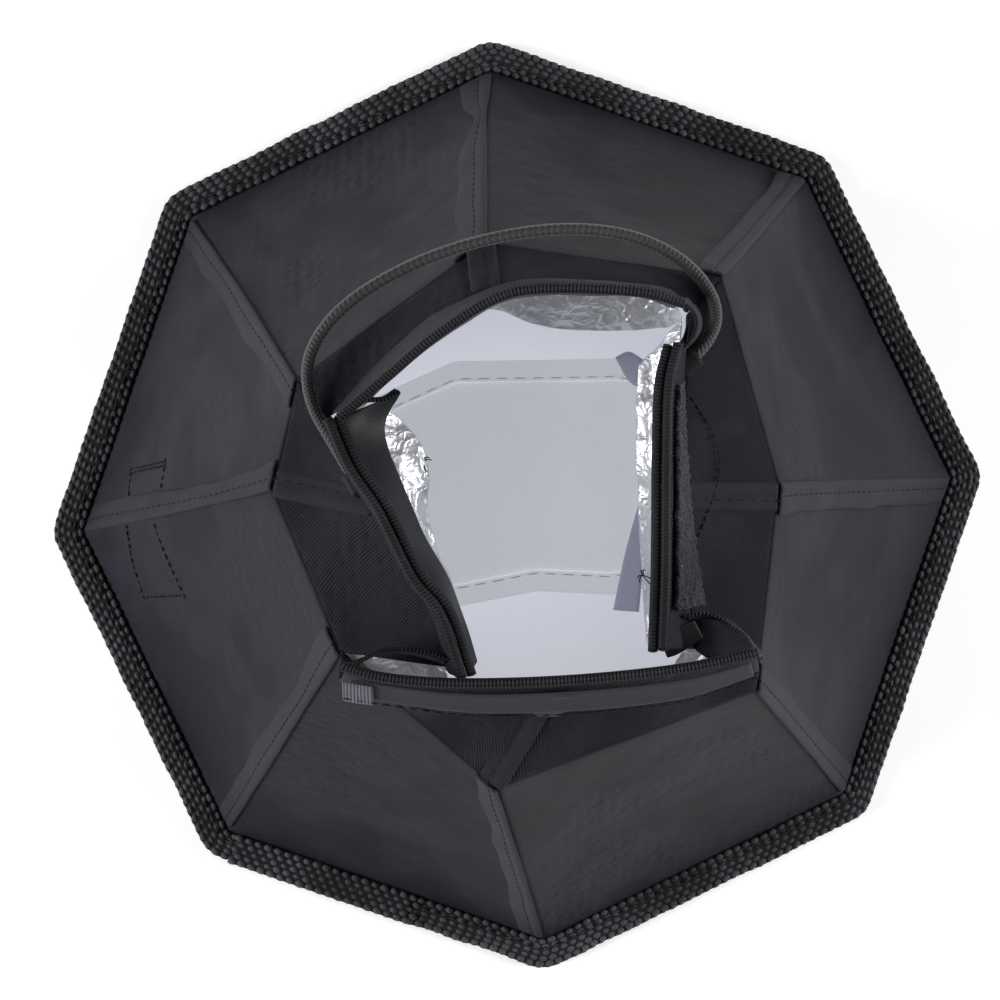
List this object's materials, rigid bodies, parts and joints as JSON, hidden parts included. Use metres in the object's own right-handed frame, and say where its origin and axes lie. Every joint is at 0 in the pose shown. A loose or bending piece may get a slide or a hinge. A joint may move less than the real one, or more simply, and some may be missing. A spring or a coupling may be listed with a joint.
{
  "type": "octabox",
  "caption": "Small collapsible octagonal softbox for a hand-held flash, with a silver-lined soft back, white diffusers and a soft flap collar with an elastic cord.",
  "frame": {"origin": "centre of the rim's front face, on the plane that the softbox lies on", "axes": "+Z from the front diffuser towards the neck that takes the flash, +X and +Y towards corners of the octagonal rim, the left flap on -X and the bottom flap on -Y"},
  "size_m": [0.1994, 0.1994, 0.1064],
  "materials": {
    "webbing": "coarse woven",
    "batten_plastic": "matt",
    "diffuser_cloth": "translucent matt",
    "foam": "matt",
    "silver_foil": "crinkled metallic",
    "black_satin": "satin",
    "elastic_rib": "ribbed",
    "loop_pile": "fuzzy",
    "grey_tape": "ribbed",
    "black_nylon": "fine twill"
  },
  "bodies": {
    "front": {"rim_binding": "webbing", "rim_battens": "batten_plastic", "front_diffuser": "diffuser_cloth", "wall_foam": "foam", "wall_cover_1": "black_nylon", "wall_lining_1": "silver_foil", "seam_fin_1": "black_nylon", "wall_cover_2": "black_nylon", "wall_lining_2": "silver_foil", "seam_fin_2": "black_nylon", "wall_cover_3": "black_nylon", "wall_lining_3": "silver_foil", "seam_fin_3": "black_nylon", "wall_cover_4": "black_nylon", "wall_lining_4": "silver_foil", "seam_fin_4": "black_nylon", "wall_cover_5": "black_nylon", "wall_lining_5": "silver_foil", "seam_fin_5": "black_nylon", "wall_cover_6": "black_nylon", "wall_lining_6": "silver_foil", "seam_fin_6": "black_nylon", "wall_cover_7": "black_nylon", "wall_lining_7": "silver_foil", "seam_fin_7": "black_nylon", "wall_cover_8": "black_nylon", "wall_lining_8": "silver_foil", "seam_fin_8": "black_nylon", "inner_diffuser": "diffuser_cloth", "inner_diffuser_hems": "diffuser_cloth"},
    "neck": {"shoulder_right": "black_nylon", "shoulder_fin_right": "black_nylon", "shoulder_top": "black_nylon", "shoulder_fin_top": "black_nylon", "shoulder_left": "black_nylon", "shoulder_fin_left": "black_nylon", "shoulder_bottom": "black_nylon", "shoulder_fin_bottom": "black_nylon", "corner_elastic_1": "elastic_rib", "corner_elastic_2": "elastic_rib", "corner_elastic_3": "elastic_rib", "corner_elastic_4": "elastic_rib", "elastic_cord": "elastic_rib", "cord_tabs": "elastic_rib"},
    "flap_right": {"flap_cover_right": "black_nylon", "flap_facing_right": "black_satin", "flap_binding_right": "elastic_rib", "loop_strip": "loop_pile"},
    "flap_top": {"flap_cover_top": "black_nylon", "flap_facing_top": "black_satin", "flap_binding_top": "elastic_rib"},
    "flap_left": {"flap_cover_left": "black_nylon", "flap_facing_left": "black_satin", "flap_binding_left": "elastic_rib"},
    "flap_bottom": {"flap_cover_bottom": "black_nylon", "flap_facing_bottom": "black_satin", "flap_binding_bottom": "elastic_rib", "hem_tape": "grey_tape", "hem_patch": "grey_tape"}
  },
  "joints": [
    {"name": "neck_collapse", "type": "slide", "parent": "front", "child": "neck", "axis": [0, 0, -1], "range_m": [0, 0.045], "deforming": ["elastic_cord", "inner_diffuser", "inner_diffuser_hems", "wall_lining_1", "wall_lining_2", "wall_lining_3", "wall_lining_4", "wall_lining_5", "wall_lining_6", "wall_lining_7", "wall_lining_8", "wall_foam"]},
    {"name": "flap_right_hinge", "type": "hinge", "parent": "neck", "child": "flap_right", "pos_m": [0.03017, 0, 0.09144], "axis": [0, 1, 0], "range_deg": [-12, 26], "deforming": ["corner_elastic_1", "cord_tabs"]},
    {"name": "flap_top_hinge", "type": "hinge", "parent": "neck", "child": "flap_top", "pos_m": [0, 0.03427, 0.09], "axis": [-1, 0, 0], "range_deg": [-28, 46], "deforming": ["corner_elastic_2"]},
    {"name": "flap_left_hinge", "type": "hinge", "parent": "neck", "child": "flap_left", "pos_m": [-0.02327, 0, 0.09387], "axis": [0, -1, 0], "range_deg": [-40, 36], "deforming": ["corner_elastic_3"]},
    {"name": "flap_bottom_hinge", "type": "hinge", "parent": "neck", "child": "flap_bottom", "pos_m": [0, -0.03427, 0.09], "axis": [1, 0, 0], "range_deg": [-4, 72], "deforming": ["corner_elastic_4"]}
  ]
}
